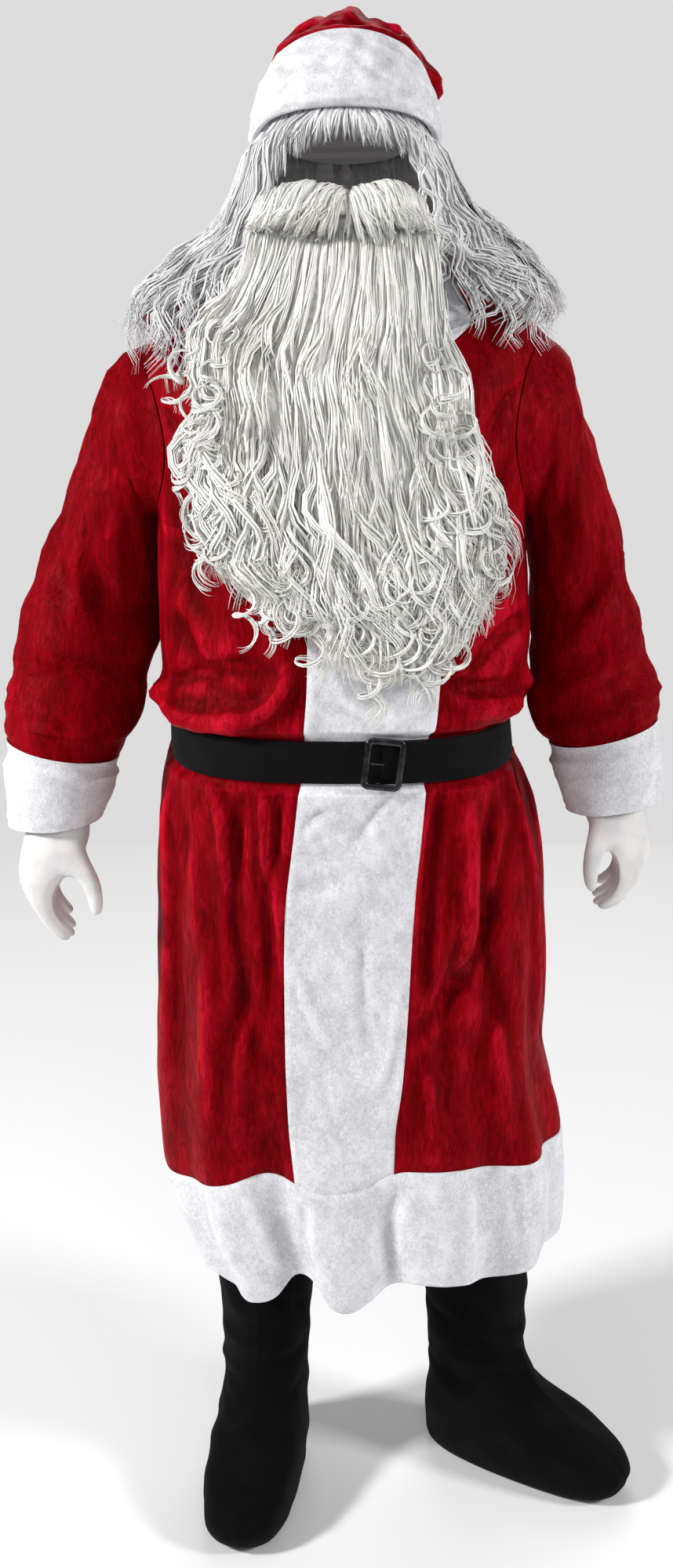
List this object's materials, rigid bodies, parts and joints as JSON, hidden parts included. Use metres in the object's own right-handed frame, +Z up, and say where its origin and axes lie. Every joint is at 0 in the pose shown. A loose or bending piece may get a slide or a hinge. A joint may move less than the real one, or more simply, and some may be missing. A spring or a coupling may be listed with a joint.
{
  "type": "santa suit",
  "caption": "Long velvet robe with plush trim, belt, hanging-tail hat, wig, long beard, gloves and boot covers, hollow and shaped as worn.",
  "frame": {"origin": "middle of the robe at the height of its shoulder line, 1.50 m above the soles of the boot covers, where the suit is held up", "axes": "+Z up, -Y towards the front of the suit, +X to the right as seen from the front (the suit's own left)"},
  "size_m": [0.7924, 0.4245, 1.8493],
  "materials": {
    "red_velvet": "crushed pile velvet",
    "white_plush": "short-pile plush",
    "white_hair": "synthetic hair, satin",
    "white_cotton": "cotton jersey, matt",
    "black_cloth": "matt woven cloth",
    "dark_metal": "dark plated, satin"
  },
  "bodies": {
    "root": {"robe_front_right": "red_velvet", "robe_front_left": "red_velvet", "robe_back": "red_velvet", "placket": "white_plush", "hem_band_front": "white_plush", "hem_band_back": "white_plush", "sleeve_right": "red_velvet", "sleeve_left": "red_velvet", "cuff_right": "white_plush", "cuff_left": "white_plush", "collar": "white_plush", "belt_strap": "black_cloth", "belt_free_end": "black_cloth", "buckle_frame": "dark_metal", "buckle_prong": "dark_metal", "hat_band": "white_plush", "hat_crown": "red_velvet", "wig": "white_hair", "wig_fringe": "white_hair", "beard": "white_hair", "moustache": "white_hair", "glove_right": "white_cotton", "glove_left": "white_cotton", "boot_right": "black_cloth", "boot_left": "black_cloth"}
  },
  "joints": []
}
